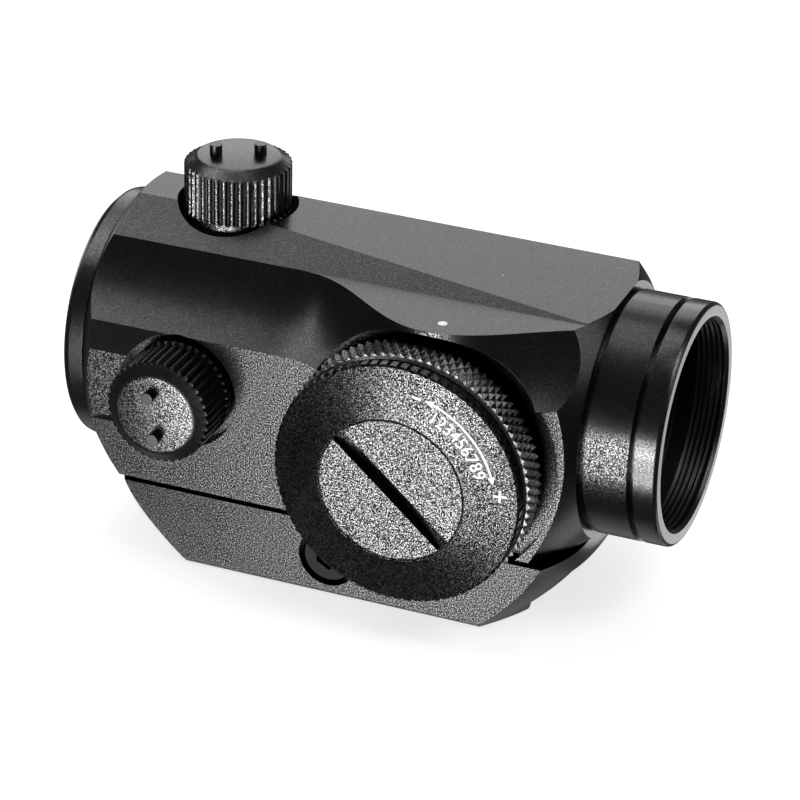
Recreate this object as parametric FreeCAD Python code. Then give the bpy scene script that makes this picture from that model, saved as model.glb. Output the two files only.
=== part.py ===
import FreeCAD, Part
import math
import os
from FreeCAD import Vector

# Closed-tube micro reflex sight on a low rail clamp.
# Origin: optical axis at the front rim. +X forward, -Y shooter's right, +Z up. mm.
# The optical tube is driven from its mouth, the block from its top and side, the brightness
# dial from its coin cell and the clamp from its rail; the rest follows from these.

# ---- clearances
FIT = 0.05                 # running fit, on radius
SLACK = 0.1                # free running gap, on radius
AIR = 0.3                  # parts that pass without touching
SEAL_GAP = 0.02            # rubber and glass lie this far from their seats

# ---- optical tube, front to rear
LENGTH = 62.0              # front rim to rear rim
MOUTH_R = 10.4             # filter thread bore
THREAD_L = 4.9
STEP_L = 1.0               # one step of the throat
STEP_H = 0.5
LIP_L = 0.9                # last land of the throat
SPIGOT_WALL = 0.7
COLLAR_WALL = 1.0
RIM_L = 2.3                # front ring flange
RIM_EDGE = 0.45            # rounding of its outer edge
RIM_BEVEL = 0.35           # bevel into the mouth
GROOVE_L = 0.65            # shadow gap behind the front ring
COLLAR_L = 7.7             # front rim to the block
NECK_L = 0.45              # undercut where the collar meets the block
NECK_H = 0.35
BEZEL_L = 2.7              # rear rim to the block
BEZEL_WALL = 2.3
BEZEL_EDGE = 0.8
BEZEL_GAP = 0.45
EYE_BEVEL_L = 0.7
EYE_BEVEL_H = 1.4
EYE_LIP = 0.3
EYE_L = 1.3                # rear rim to the window
GLASS_T = 1.5
GLASS_STEP = 0.5
NUT_T = 0.8                # ring that holds the window
REAR_SPIGOT_L = 3.3

# ---- milled block
TOP_Z = 15.0
TOP_HALF = 2.95
SHELF_Z = 12.4
SHELF_Y = 7.83             # top edge of the scoops
RAMP_SLOPE = 0.0614        # the top falls forward
RAMP_BACK = 1.5            # from this far behind the turret
SIDE_Y = 14.0
BELLY_Z = -10.8
DOME_STEP = 0.75           # start of each end dome outside the ring it meets
DOME_SWEEP = 25.0          # degrees of arc
FRONT_DOME_R = 35.8
FRONT_DOME_TILT = 34.7     # degrees, where the arc starts
REAR_DOME_R = 24.7
REAR_DOME_TILT = 38.5
SCOOP_R = 18.5             # form cutter of the side scoops
SCOOP_TOP = 30.0           # degrees it is tilted at the top edge
SCOOP_LOW = 66.0           # and at the bottom edge
SCOOP_PITCH = 2.0          # spacing of the scoop's sections
SCOOP_HOOD = 0.75          # share of scoop width lost under the hood
SCOOP_FRONT = 0.18         # and at the front corner
CORNER_X = 7.3             # how far behind the shoulder that corner begins
CORNER_L = 5.0
LEDGE_DROP = 6.35          # shelf to the ledge over the flat side
HOOD_AHEAD = 0.9           # hood centre from the dial axis
HOOD_REACH = 7.5           # how far the hood stands out of the scoop line
HOOD_REAR = 15.4
HOOD_FRONT = 18.0
PAD_RISE = 1.2             # raised rear pad
PAD_TOP = 9.1              # its upper and lower bevels, down from the shelf
PAD_LOW = 16.1
PAD_BEVEL = 1.3

# ---- turrets, both alike
TURRET_BACK = 13.5         # ahead of the rear rim
WELL_DEPTH = 2.4
WELL_GAP = 0.68
POST_R = 4.2
POST_H = 4.7
CAP_WALL = 1.11
CAP_EDGE = 0.15
SEAL_R = 0.4
SKIRT_H = 0.7
FLUTES = 40
FLUTE_H = 4.8
FLUTE_DEPTH = 0.3
FLUTE_SHARE = 0.6          # groove width as a share of the pitch
CROWN_H = 0.75
CROWN_R = 4.0
PIN_R = 0.62
PIN_OFF = 2.2              # pin centre from the turret axis
PIN_SUNK = 0.8
PIN_H = 1.1
TOP_PIN_TURN = 27.1        # degrees from straight ahead
SIDE_PIN_TURN = -83.3
HEAD_LAND = 0.9            # wall round the screw head
HEAD_SEAT = 1.4            # its seat above the well floor
HEAD_H = 2.3
CLIP_T = 0.6
CLIP_W = 1.1
SLOT_W = 0.9
SLOT_DEPTH = 0.8
STEM_R = 1.45
STEM_SET = 0.8             # stem end off the bottom of its thread
PLUNGER_R = 2.6
PLUNGER_NOSE = 0.6
PLUNGER_LAND = 0.7         # floor under the thread
PLUNGER_RISE = 0.7         # top above the well floor
KEY_DEPTH = 0.5            # flat on the plunger

# ---- aiming tube and optics
TUBE_BACK = 2.7            # behind the throat
TUBE_ROOM = 1.2            # room to swing
TUBE_WALL = 0.7
TUBE_CLEAR = 5.3           # ends this far ahead of the block's rear face
PIVOT_L = 3.0
PIVOT_WALL = 0.4
PIVOT_BACK = 1.6           # pivot centre behind the tube's front
BELL_L = 5.1
BELL_TAPER = 0.7
BELL_WALL = 0.5
LENS_EDGE = 1.5
LENS_SAG_FRONT = 0.5
LENS_SAG_REAR = 0.6
LENS_NUT_L = 1.0
LENS_NUT_WALL = 0.6
LENS_NUT_SET = 0.4
HOLDER_SET = 1.0
HOLDER_L = 3.8
HOLDER_W = 4.4
HOLDER_H = 2.3
CHIP_T = 0.7
CHIP_W = 1.2
CHIP_H = 1.0
CHIP_SET = 0.4
LEAF_L = 22.7
LEAF_W = 4.0
LEAF_T = 0.25
LEAF_AHEAD = 19.7          # its front end from the turrets
LEAF_FLAT = 4.2
LEAF_BOW = 1.0
LEAF_CREST = 1.5           # crest behind the turrets
LEAF_DIP = 0.2
TROUGH_H = 1.2             # groove of the leaf spring
TROUGH_SIDE = 0.6
TROUGH_END = 1.5
LEAF_SCREW_IN = 1.7
LEAF_SCREW_R = 0.7
LEAF_SCREW_L = 1.8
LEAF_HEAD_R = 1.25
LEAF_HEAD_H = 0.6

# ---- brightness dial and battery
DIAL_X = -23.4
DIAL_Z = -2.1
CELL_R = 10.0              # 20 mm coin cell
CELL_T = 3.2
CELL_STEP = 0.35
CELL_CAN = 1.1             # step in from the rim of the negative can
SLEEVE_WALL = 0.85
SLEEVE_LIP = 0.1
SLEEVE_LEAD = 1.2          # sleeve past the cell
DIAL_WALL = 1.65
DIAL_EDGE = 0.2
DIAL_LIFT = 0.15           # back of the dial off the flat side
DIAL_SET = 0.35            # its front behind the sleeve's end
POCKET_DEPTH = 1.4         # below the flat side
POCKET_GAP = 0.4
POCKET_FORE = 1.0          # the pocket sits ahead of the dial's centre
POCKET_UP = 0.8            # and above it, under the hood
FLANGE_W = 0.35
CELL_LIFT = 1.2            # cell above the pocket floor
BOARD_T = 1.0
BOARD_SUNK = 0.7
PAD_IN = 0.8               # contact pads in from the board's edge
PAD_L = 1.2
PAD_W = 1.0
PAD_T = 0.1
CONTACT_T = 0.2
CONTACT_R = 3.4
CONTACT_HOLE = 2.0
BLADE_START = 2.5
BLADE_L = 5.0
BLADE_W = 1.6
BLADE_RISE = 6.0           # degrees
BLADES = 3
CLICKS = 12
BALL_R = 0.45
BALL_WALL = 0.5
DIMPLE_DEPTH = 0.3
DETENT_IN = 0.7            # in from the dial's edge
DETENT_TURN = 210.0        # degrees from straight ahead
DETENT_DEPTH = 1.6         # below the pocket floor
COIL_PITCH = 0.6
COIL_WIRE = 0.14
RETAIN_T = 0.25
RETAIN_W = 1.15
RETAIN_GAP = 2.0
LID_GAP = 0.25
LID_OVER = 1.35            # lid rim past the sleeve
LID_EDGE = 0.9
LID_BEVEL = 0.12
LID_CONE = 1.35
LID_DISC_R = 7.35
LID_GROOVE = 0.12
LID_TEETH = 76
LID_TOOTH = 0.22
LID_SHARE = 0.41
COIN_R = 24.0              # slot cutter
COIN_W = 1.5
COIN_DEPTH = 1.6
COIN_TURN = -41.3          # degrees from straight ahead
LID_SEAL_W = 0.75

# ---- clamp
BASE_GAP = 0.5             # shadow line under the block
SEAT_T = 3.1               # plate over the rail
HOOK_T = 4.9               # seat to underside
RAIL_HALF = 10.6           # 21.2 mm wide rail
RAIL_FLANK = 2.76          # its 45 degree flank
BASE_EDGE = 0.4
BASE_BACK = 0.4            # front end behind the shoulder
BASE_SHORT = 2.7           # rear end ahead of the block's rear face
BASE_NOSE = [(0.0, 13.2), (0.9, 16.0), (2.2, 17.9), (5.6, 21.4), (11.9, 26.0)]
BASE_TAIL = [(0.0, 13.2), (0.8, 16.0), (2.4, 18.6), (5.0, 21.0), (8.7, 23.7), (12.6, 26.0)]
LAND_HALF = 9.0
LAND_SET = 2.3
LAND_REAR = 6.3
JAW_IN = 1.2               # split line inside the rail's edge
JAW_TOP = 1.2              # and above the seat
JAW_SET = 7.0              # shorter than the base at each end
BOLT_X = -32.5
BOLT_DROP = 0.7            # below the seat
BOLT_R = 2.2
BOLT_HEAD = 0.55
BOLT_HEAD_H = 1.8
BOLT_SUNK = 0.2
BOLT_SHORT = 0.4
BOLT_ROOM = 0.35
NOTCH_ROOM = 0.15
NOTCH_TOP = 0.5
HEX_R = 1.5
HEX_DEPTH = 1.4
SCREW_R = 1.0
SCREW_HEAD_R = 2.0
SCREW_SUNK = 0.2
SCREW_BITE = 1.6
SCREW_Y = 5.6
SCREW_FRONT = 9.3          # behind the shoulder
SCREW_REAR = 15.0          # ahead of the rear rim

# ---- what follows from the sizes
ORIGIN = Vector(0, 0, 0)
UP = Vector(0, 0, 1)
DOWN = Vector(0, 0, -1)
OUT = Vector(0, -1, 0)
FORE = Vector(1, 0, 0)
FAR = 2 * SIDE_Y           # past everything sideways

BORE_R = MOUTH_R - 2 * STEP_H
EYE_R = BORE_R - EYE_LIP
SPIGOT_R = MOUTH_R + SPIGOT_WALL
COLLAR_R = SPIGOT_R + COLLAR_WALL
THROAT_X = -(THREAD_L + STEP_L + LIP_L)
SHOULDER_X = -COLLAR_L
REAR_X = BEZEL_L - LENGTH
GLASS_X = EYE_L - LENGTH
GLASS_R = BORE_R + GLASS_STEP
REAR_SPIGOT_R = GLASS_R + SPIGOT_WALL
BEZEL_R = REAR_SPIGOT_R + BEZEL_WALL

HUB = Vector(TURRET_BACK - LENGTH, 0, 0)
WELL_FLOOR = TOP_Z - WELL_DEPTH
POST_TOP = WELL_FLOOR + POST_H
CAP_BORE = POST_R + FIT
CAP_R = CAP_BORE + CAP_WALL
WELL_R = CAP_R + WELL_GAP
CAP_LOW = WELL_FLOOR + 2 * SEAL_R + FIT
FLUTE_LOW = CAP_LOW + SKIRT_H
FLUTE_TOP = FLUTE_LOW + FLUTE_H
CAP_TOP = FLUTE_TOP + CROWN_H
HEAD_R = POST_R - HEAD_LAND
HEAD_LOW = WELL_FLOOR + HEAD_SEAT
HEAD_TOP = HEAD_LOW + FIT + HEAD_H

TUBE_X = THROAT_X - TUBE_BACK
TUBE_END = REAR_X + TUBE_CLEAR
TUBE_R = BORE_R - TUBE_ROOM
TUBE_BORE = TUBE_R - TUBE_WALL
PIVOT_X = TUBE_X - PIVOT_BACK
PIVOT_R = BORE_R - SLACK
BELL_R = PIVOT_R - PIVOT_WALL - SLACK
LENS_R = BELL_R - BELL_WALL
LENS_X = TUBE_X - LENS_NUT_SET - LENS_NUT_L
FOOT = TUBE_R + FIT        # plunger foot from the optical axis
LEAF_X = HUB.x + LEAF_AHEAD
LEAF_FLOOR = BORE_R + TROUGH_H
LEAF_HOLE = Vector(LEAF_X - LEAF_SCREW_IN, 0, 0)

DIAL = Vector(DIAL_X, 0, DIAL_Z)
SLEEVE_BORE = CELL_R + AIR
SLEEVE_R = SLEEVE_BORE + SLEEVE_WALL
DIAL_BORE = SLEEVE_R + SLACK
DIAL_R = DIAL_BORE + DIAL_WALL
FLANGE_R = SLEEVE_R + FLANGE_W
POCKET_Y = SIDE_Y - POCKET_DEPTH
DETENT_FLOOR = POCKET_Y - DETENT_DEPTH
BOARD_BACK = POCKET_Y - BOARD_SUNK
BOARD_TOP = BOARD_BACK + BOARD_T
CELL_BACK = POCKET_Y + CELL_LIFT
CELL_FRONT = CELL_BACK + CELL_T
SLEEVE_END = CELL_FRONT + SLEEVE_LEAD
DIAL_BACK = SIDE_Y + DIAL_LIFT
DIAL_FRONT = SLEEVE_END - DIAL_SET
LID_R = SLEEVE_R + LID_OVER
LID_BACK = SLEEVE_END + LID_GAP
LID_RIM = LID_BACK + LID_EDGE
LID_FACE = LID_RIM + LID_CONE
BALL_LOW = DIAL_BACK - FIT - 2 * BALL_R
TURN = math.radians(DETENT_TURN)
DETENT = DIAL + (FORE * math.cos(TURN) + UP * math.sin(TURN)) * (DIAL_R - DETENT_IN)

BASE_TOP = BELLY_Z - BASE_GAP
SEAT_Z = BASE_TOP - SEAT_T
BASE_LOW = SEAT_Z - HOOK_T
BASE_X = SHOULDER_X - BASE_BACK
BASE_END = REAR_X + BASE_SHORT
RAIL_TOP_HALF = RAIL_HALF - RAIL_FLANK
BOLT = Vector(BOLT_X, 0, SEAT_Z - BOLT_DROP)
BOLT_TOP = SIDE_Y - BOLT_SUNK
BOLT_SEAT = BOLT_TOP - BOLT_HEAD_H
BOLT_HEAD_R = BOLT_R + BOLT_HEAD


# ------------------------------------------------------------------ shop work

def save(name, shape):
    """Write one piece to its own file."""
    shape.removeSplitter().exportStep("parts/" + name + ".step")


def sideways(axis):
    """A direction square to a turning axis."""
    return UP if abs(axis.z) < 0.5 else FORE


def closed(pts):
    """Flat face inside an outline."""
    return Part.Face(Part.makePolygon(pts + pts[:1]))


def turned(profile, base, axis):
    """Lathe work: (distance along the axis, radius) pairs spun round the axis."""
    side = sideways(axis)
    return closed([base + axis * a + side * r for a, r in profile]).revolve(base, axis, 360)


def rod(r, a, b, base, axis):
    """Plain cylinder from distance a to distance b."""
    return Part.makeCylinder(r, b - a, base + axis * a, axis)


def tube(r_in, r_out, a, b, base, axis):
    """Plain ring from distance a to distance b."""
    return rod(r_out, a, b, base, axis).cut(rod(r_in, a, b, base, axis))


def block(x0, x1, y0, y1, z0, z1):
    """Box between two corners."""
    return Part.makeBox(x1 - x0, y1 - y0, z1 - z0, Vector(x0, y0, z0))


def bar(points, x0, x1):
    """Section given as (y, z) pairs, drawn along the tube axis."""
    return closed([Vector(x0, y, z) for y, z in points]).extrude(FORE * (x1 - x0))


def spun(shape, base, axis, count):
    """Copies of a shape all round an axis."""
    out = []
    for i in range(count):
        copy = shape.copy()
        copy.rotate(base, axis, 360.0 * i / count)
        out.append(copy)
    return out


def rounded(end, r, edge, way):
    """Outer edge of a turned rim eased in three short bevels; way points out of its face."""
    turns = [math.radians(30 * k) for k in range(4)]
    return [(end - way * edge * (1 - math.sin(t)), r - edge * (1 - math.cos(t))) for t in turns]


def round_points(polar, a, base, axis):
    """Points round an axis from (radius, angle) pairs."""
    side = sideways(axis)
    other = axis.cross(side)
    return [base + axis * a + side * (r * math.cos(t)) + other * (r * math.sin(t)) for r, t in polar]


def fluted(r, depth, share, count, a, b, base, axis):
    """Prism with flat lands and V grooves between them."""
    pitch = 2 * math.pi / count
    half = share * pitch / 2
    polar = []
    for i in range(count):
        polar += [(r, pitch * i - half), (r - depth, pitch * i), (r, pitch * i + half)]
    return closed(round_points(polar, a, base, axis)).extrude(axis * (b - a))


def bevelled(r0, r1, count, a, b, base, axis):
    """Bevel with one flat for each land of a fluted prism."""
    pitch = 2 * math.pi / count
    rings = []
    for r, at in ((r0, a), (r1, b)):
        pts = round_points([(r / math.cos(pitch / 2), pitch * i) for i in range(count)], at, base, axis)
        rings.append(Part.makePolygon(pts + pts[:1]))
    return Part.makeLoft(rings, True, True)


def envelope(front, rear):
    """Body of revolution between two end curves."""
    a, b = front.valueAt(front.FirstParameter), front.valueAt(front.LastParameter)
    c, d = rear.valueAt(rear.FirstParameter), rear.valueAt(rear.LastParameter)
    frame = Part.makePolygon([c, Vector(c.x, 0, 0), Vector(a.x, 0, 0), a]).Edges
    edges = Part.__sortEdges__([front, rear, Part.makeLine(b, d)] + frame)
    return Part.Face(Part.Wire(edges)).revolve(ORIGIN, FORE, 360)


# ------------------------------------------------------------------ housing

def swell(x):
    """Smooth rise and fall of the hood along the sight, 0 to 1."""
    away = x - DIAL_X - HOOD_AHEAD
    width = HOOD_REAR if away < 0 else HOOD_FRONT
    return 0.5 * (1 + math.cos(math.pi * min(1.0, abs(away) / width)))


def hood_edge(x):
    """Plan line of the scoop's top edge; it swells into the hood."""
    return -SHELF_Y - HOOD_REACH * swell(x)


def flare(x):
    """Share of the full scoop width: narrow under the hood and at the front corner."""
    t = min(1.0, max(0.0, (x - SHOULDER_X + CORNER_X) / CORNER_L))
    return (1.0 - SCOOP_HOOD * swell(x) ** 2) * (1.0 - SCOOP_FRONT * t * t * (3 - 2 * t))


def scoop_section(x):
    """One section of the form cutter, from just above the shelf down to the side."""
    top = math.radians(SCOOP_TOP)
    start = math.radians(SCOOP_TOP - 3)
    low = math.radians(SCOOP_LOW)
    row = []
    for j in range(7):
        tilt = start + (low - start) * j / 6
        out = SCOOP_R * (math.cos(top) - math.cos(tilt)) * flare(x)
        drop = SCOOP_R * (math.sin(tilt) - math.sin(top))
        row.append(Vector(x, hood_edge(x) - out, SHELF_Z - drop))
    return row


def right_scoop():
    """Concave form cutter carried along the hood's edge line, open to the side."""
    count = math.ceil(LENGTH / SCOOP_PITCH) + 2
    surface = Part.BSplineSurface()
    surface.interpolate([scoop_section(-SCOOP_PITCH * i) for i in range(count, -1, -1)])
    return surface.toShape().extrude(OUT * FAR)


def left_scoop():
    """The same radius run straight through on the left side."""
    top = math.radians(SCOOP_TOP)
    centre = Vector(0, SHELF_Y + SCOOP_R * math.cos(top), SHELF_Z + SCOOP_R * math.sin(top))
    return rod(SCOOP_R, -LENGTH, 0, centre, FORE)


def raw_block():
    """The bar as first milled: flat top, two falling sides, hood width on the right."""
    wide = SHELF_Y + HOOD_REACH + AIR
    section = [(-TOP_HALF, TOP_Z), (-SHELF_Y, SHELF_Z), (-wide, SHELF_Z), (-wide, BELLY_Z),
               (SIDE_Y, BELLY_Z), (SIDE_Y, SHELF_Z), (SHELF_Y, SHELF_Z), (TOP_HALF, TOP_Z)]
    return bar(section, REAR_X, SHOULDER_X)


def dome(x, r, arc_r, tilt, way):
    """Arc of an end dome, drawn outwards from its ring; way points to that end."""
    first = math.radians(tilt)
    sweep = math.radians(DOME_SWEEP)
    centre = Vector(x - way * arc_r * math.cos(first), 0, r - arc_r * math.sin(first))
    turns = [first, first + sweep / 2, first + sweep]
    pts = [centre + Vector(way * arc_r * math.cos(t), 0, arc_r * math.sin(t)) for t in turns]
    return Part.Arc(pts[0], pts[1], pts[2]).toShape()


def side_cuts():
    """Right side milled flat below a ledge; a raised pad stays round the windage turret."""
    ledge = SHELF_Z - LEDGE_DROP
    high = SIDE_Y + PAD_RISE
    low = SHELF_Z - PAD_LOW
    pad = [(-SIDE_Y, ledge), (-high, SHELF_Z - PAD_TOP), (-high, low), (-SIDE_Y, low - PAD_BEVEL),
           (-SIDE_Y, -FAR), (-FAR, -FAR), (-FAR, ledge)]
    return [block(HUB.x, 0, -FAR, -SIDE_Y, -FAR, ledge), bar(pad, -LENGTH, HUB.x)]


def ramp():
    """Wedge taken off the top so that it falls forward."""
    start = HUB.x - RAMP_BACK
    pts = [Vector(start, -FAR, TOP_Z), Vector(0, -FAR, TOP_Z + RAMP_SLOPE * start), Vector(0, -FAR, FAR),
           Vector(start, -FAR, FAR)]
    return closed(pts).extrude(Vector(0, 2 * FAR, 0))


def blank():
    """Block with ramp, scoops, sides and domed ends, joined to the front collar."""
    body = raw_block().cut(side_cuts()).cut(ramp()).cut(left_scoop()).cut(right_scoop())
    front = dome(SHOULDER_X, COLLAR_R + DOME_STEP, FRONT_DOME_R, FRONT_DOME_TILT, 1)
    rear = dome(REAR_X, BEZEL_R + DOME_STEP, REAR_DOME_R, REAR_DOME_TILT, -1)
    body = body.common(envelope(front, rear))
    collar = rod(COLLAR_R, SHOULDER_X - AIR, -RIM_L - GROOVE_L, ORIGIN, FORE)
    neck = tube(COLLAR_R - NECK_H, COLLAR_R + DOME_STEP, SHOULDER_X, SHOULDER_X + NECK_L, ORIGIN, FORE)
    return body.fuse(collar).cut(neck)


def key_flat(axis, slack):
    """Block that takes the flat off the round plunger, so it cannot turn."""
    side = sideways(axis)
    cut = Part.makeBox(FAR, FAR, FAR, Vector(-FAR / 2, -FAR / 2, 0))
    at = HUB + side * (PLUNGER_R - KEY_DEPTH + slack) + axis * WELL_FLOOR
    cut.Placement = FreeCAD.Placement(at, FreeCAD.Rotation(UP, side))
    return cut


def turret_bore(axis):
    """Keyed hole for the plunger and bore for the screw's head."""
    keyed = rod(PLUNGER_R + FIT, TUBE_BORE, HEAD_LOW, HUB, axis).cut(key_flat(axis, FIT))
    return rod(HEAD_R + SLACK, HEAD_LOW, FAR, HUB, axis).fuse(keyed)


def dial_pocket(body):
    """Sink the dial's pocket and leave a boss round its click ball."""
    relief = DIAL + FORE * POCKET_FORE + UP * POCKET_UP
    boss = rod(BALL_R + BALL_WALL, DETENT_FLOOR, DIAL_BACK - AIR, DETENT, OUT)
    body = body.fuse(rod(FLANGE_R + AIR, DETENT_FLOOR, POCKET_Y, DIAL, OUT))
    body = body.cut(rod(DIAL_R + POCKET_GAP, POCKET_Y, FAR, relief, OUT))
    body = body.fuse(boss.cut(rod(FLANGE_R + FIT, POCKET_Y, FAR, DIAL, OUT)))
    return body.cut([rod(CELL_R + SLACK, BOARD_BACK - FIT, FAR, DIAL, OUT),
                     rod(BALL_R + FIT, DETENT_FLOOR, FAR, DETENT, OUT)])


def housing():
    """Main housing, one milled and turned aluminium piece."""
    body = dial_pocket(blank())
    for axis in (UP, OUT):
        body = body.cut(rod(WELL_R, WELL_FLOOR, FAR, HUB, axis))
        body = body.fuse(rod(POST_R, WELL_FLOOR - AIR, POST_TOP, HUB, axis)).cut(turret_bore(axis))
    bores = [rod(BORE_R, -LENGTH, 0, ORIGIN, FORE), rod(SPIGOT_R, THROAT_X, 0, ORIGIN, FORE),
             rod(REAR_SPIGOT_R, -LENGTH, REAR_X + REAR_SPIGOT_L, ORIGIN, FORE), leaf_trough()]
    bores += [rod(SCREW_R, -BELLY_Z - SCREW_BITE - AIR, FAR, p, DOWN) for p in base_screw_points()]
    return body.cut(bores)


def front_ring():
    """Screwed-in front ring with a rounded lip and a stepped throat."""
    profile = rounded(0, COLLAR_R, RIM_EDGE, 1)
    step = MOUTH_R - STEP_H
    profile += [(0, MOUTH_R + RIM_BEVEL), (-RIM_BEVEL, MOUTH_R), (-THREAD_L, MOUTH_R), (-THREAD_L, step),
                (THROAT_X + LIP_L, step), (THROAT_X + LIP_L, BORE_R), (THROAT_X, BORE_R),
                (THROAT_X, SPIGOT_R), (-RIM_L, SPIGOT_R), (-RIM_L, COLLAR_R)]
    return turned(profile, ORIGIN, FORE)


def rear_ring():
    """Rear bezel: rounded outer edge, spigot into the housing, lip behind the window."""
    flange = REAR_X - BEZEL_GAP
    inner = REAR_X + REAR_SPIGOT_L
    profile = [(flange, REAR_SPIGOT_R), (flange, BEZEL_R)] + rounded(-LENGTH, BEZEL_R, BEZEL_EDGE, -1)
    profile += [(-LENGTH, EYE_R + EYE_BEVEL_H), (EYE_BEVEL_L - LENGTH, EYE_R), (GLASS_X, EYE_R),
                (GLASS_X, GLASS_R), (inner, GLASS_R), (inner, REAR_SPIGOT_R)]
    return turned(profile, ORIGIN, FORE)


# ------------------------------------------------------------------ optics

def hollow(r, depth):
    """Depth at radius r of a spherical lens face that is so deep at its edge."""
    ball = (LENS_R ** 2 + depth ** 2) / (2 * depth)
    return ball - math.sqrt(ball ** 2 - r ** 2)


def lens_face(edge, depth):
    """Half profile of a lens face, as an arc from the centre to the edge."""
    r = LENS_R - SEAL_GAP
    pts = [Vector(edge - depth + hollow(at, depth), 0, at) for at in (0, r / 2, r)]
    return Part.Arc(pts[0], pts[1], pts[2]).toShape(), pts[0], pts[2]


def objective():
    """Meniscus lens that sends the dot back to the eye."""
    front, a, b = lens_face(LENS_X, LENS_SAG_FRONT)
    rear, c, d = lens_face(LENS_X - LENS_EDGE, LENS_SAG_REAR)
    edges = Part.__sortEdges__([front, rear, Part.makeLine(a, c), Part.makeLine(b, d)])
    return Part.Face(Part.Wire(edges)).revolve(ORIGIN, FORE, 360)


def aiming_tube():
    """Inner tube with a wide front bell."""
    bell = TUBE_X - BELL_L
    seat = LENS_X - LENS_EDGE - LENS_SAG_REAR + hollow(TUBE_BORE, LENS_SAG_REAR) - SEAL_GAP
    profile = [(TUBE_X, LENS_R), (TUBE_X, BELL_R), (bell, BELL_R), (bell - BELL_TAPER, TUBE_R),
               (TUBE_END, TUBE_R), (TUBE_END, TUBE_BORE), (seat, TUBE_BORE), (seat, LENS_R)]
    return turned(profile, ORIGIN, FORE)


def pivot():
    """Bearing ring in the housing; the bell swings in it."""
    half = PIVOT_L / 2
    return tube(PIVOT_R - PIVOT_WALL, PIVOT_R, PIVOT_X - half, PIVOT_X + half, ORIGIN, FORE)


def diode_holder():
    """Bracket low in the tube, hollowed to the tube's own curve."""
    x = TUBE_END + HOLDER_SET
    body = block(x, x + HOLDER_L, -HOLDER_W / 2, HOLDER_W / 2, -TUBE_R, HOLDER_H - TUBE_BORE)
    return body.common(rod(TUBE_BORE, TUBE_END, 0, ORIGIN, FORE)).cut(diode())


def diode():
    """Light-emitting chip, let into the front of its bracket."""
    x = TUBE_END + HOLDER_SET + HOLDER_L
    top = HOLDER_H - TUBE_BORE - CHIP_SET
    return block(x - CHIP_T, x, -CHIP_W / 2, CHIP_W / 2, top - CHIP_H, top)


def slanted(shape):
    """Turn a piece drawn below the tube to the lower left corner."""
    shape.rotate(ORIGIN, FORE, 45)
    return shape


def leaf_trough():
    """Groove and screw hole of the leaf spring."""
    half = LEAF_W / 2 + TROUGH_SIDE
    groove = block(LEAF_X - LEAF_L - TROUGH_END, LEAF_X + AIR, -half, half, -LEAF_FLOOR, -TUBE_R)
    return slanted(groove.fuse(rod(LEAF_SCREW_R, TUBE_R, LEAF_FLOOR + LEAF_SCREW_L + AIR, LEAF_HOLE, DOWN)))


def bias_spring():
    """Leaf that loads the tube against both plungers."""
    line = [(LEAF_X, 0), (LEAF_X - LEAF_FLAT, 0), (HUB.x - LEAF_CREST, LEAF_BOW),
            (LEAF_X - LEAF_L, LEAF_BOW - LEAF_DIP)]
    under = [Vector(x, -LEAF_W / 2, h - LEAF_FLOOR) for x, h in line]
    upper = [p + UP * LEAF_T for p in reversed(under)]
    leaf = closed(under + upper).extrude(Vector(0, LEAF_W, 0))
    return slanted(leaf.cut(rod(LEAF_SCREW_R, 0, FAR, LEAF_HOLE, DOWN)))


def spring_screw():
    """Round-headed screw that holds the leaf."""
    seat = LEAF_FLOOR - LEAF_T
    shank = rod(LEAF_SCREW_R, seat, LEAF_FLOOR + LEAF_SCREW_L, LEAF_HOLE, DOWN)
    return slanted(shank.fuse(rod(LEAF_HEAD_R, seat - LEAF_HEAD_H, seat, LEAF_HOLE, DOWN)))


# ------------------------------------------------------------------ turrets

def adjuster(axis):
    """Captive screw: slotted head that turns, stem threaded into the plunger."""
    stem = FOOT + PLUNGER_LAND + STEM_SET
    low = HEAD_LOW + FIT
    profile = [(stem, 0), (stem, STEM_R), (low, STEM_R), (low, HEAD_R), (HEAD_TOP, HEAD_R), (HEAD_TOP, 0)]
    slot = block(-SLOT_W / 2, SLOT_W / 2, -POST_R, POST_R, -SLOT_DEPTH, SLOT_DEPTH)
    slot.Placement = FreeCAD.Placement(HUB + axis * HEAD_TOP, FreeCAD.Rotation(UP, axis))
    return turned(profile, HUB, axis).cut(slot)


def plunger(axis):
    """Keyed foot that pushes the aiming tube."""
    top = WELL_FLOOR + PLUNGER_RISE
    floor = FOOT + PLUNGER_LAND
    thread = STEM_R + FIT
    profile = [(FOOT, 0), (FOOT, PLUNGER_R - PLUNGER_NOSE), (FOOT + PLUNGER_NOSE, PLUNGER_R),
               (top, PLUNGER_R), (top, thread), (floor, thread), (floor, 0)]
    return turned(profile, HUB, axis).cut(key_flat(axis, 0))


def turret_cap(axis, turn):
    """Fluted dust cap with a bevelled crown."""
    skirt = [(CAP_LOW, 0), (CAP_LOW, CAP_R - CAP_EDGE), (CAP_LOW + CAP_EDGE, CAP_R), (FLUTE_LOW, CAP_R),
             (FLUTE_LOW, 0)]
    band = fluted(CAP_R, FLUTE_DEPTH, FLUTE_SHARE, FLUTES, FLUTE_LOW, FLUTE_TOP, HUB, axis)
    crown = fluted(CAP_R, FLUTE_DEPTH, FLUTE_SHARE, FLUTES, FLUTE_TOP, CAP_TOP, HUB, axis)
    crown = crown.common(bevelled(CAP_R, CROWN_R, FLUTES, FLUTE_TOP, CAP_TOP, HUB, axis))
    cap = turned(skirt, HUB, axis).fuse([band, crown])
    return cap.cut([rod(CAP_BORE, CAP_LOW, POST_TOP + AIR, HUB, axis), tool_pins(axis, turn)])


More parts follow.
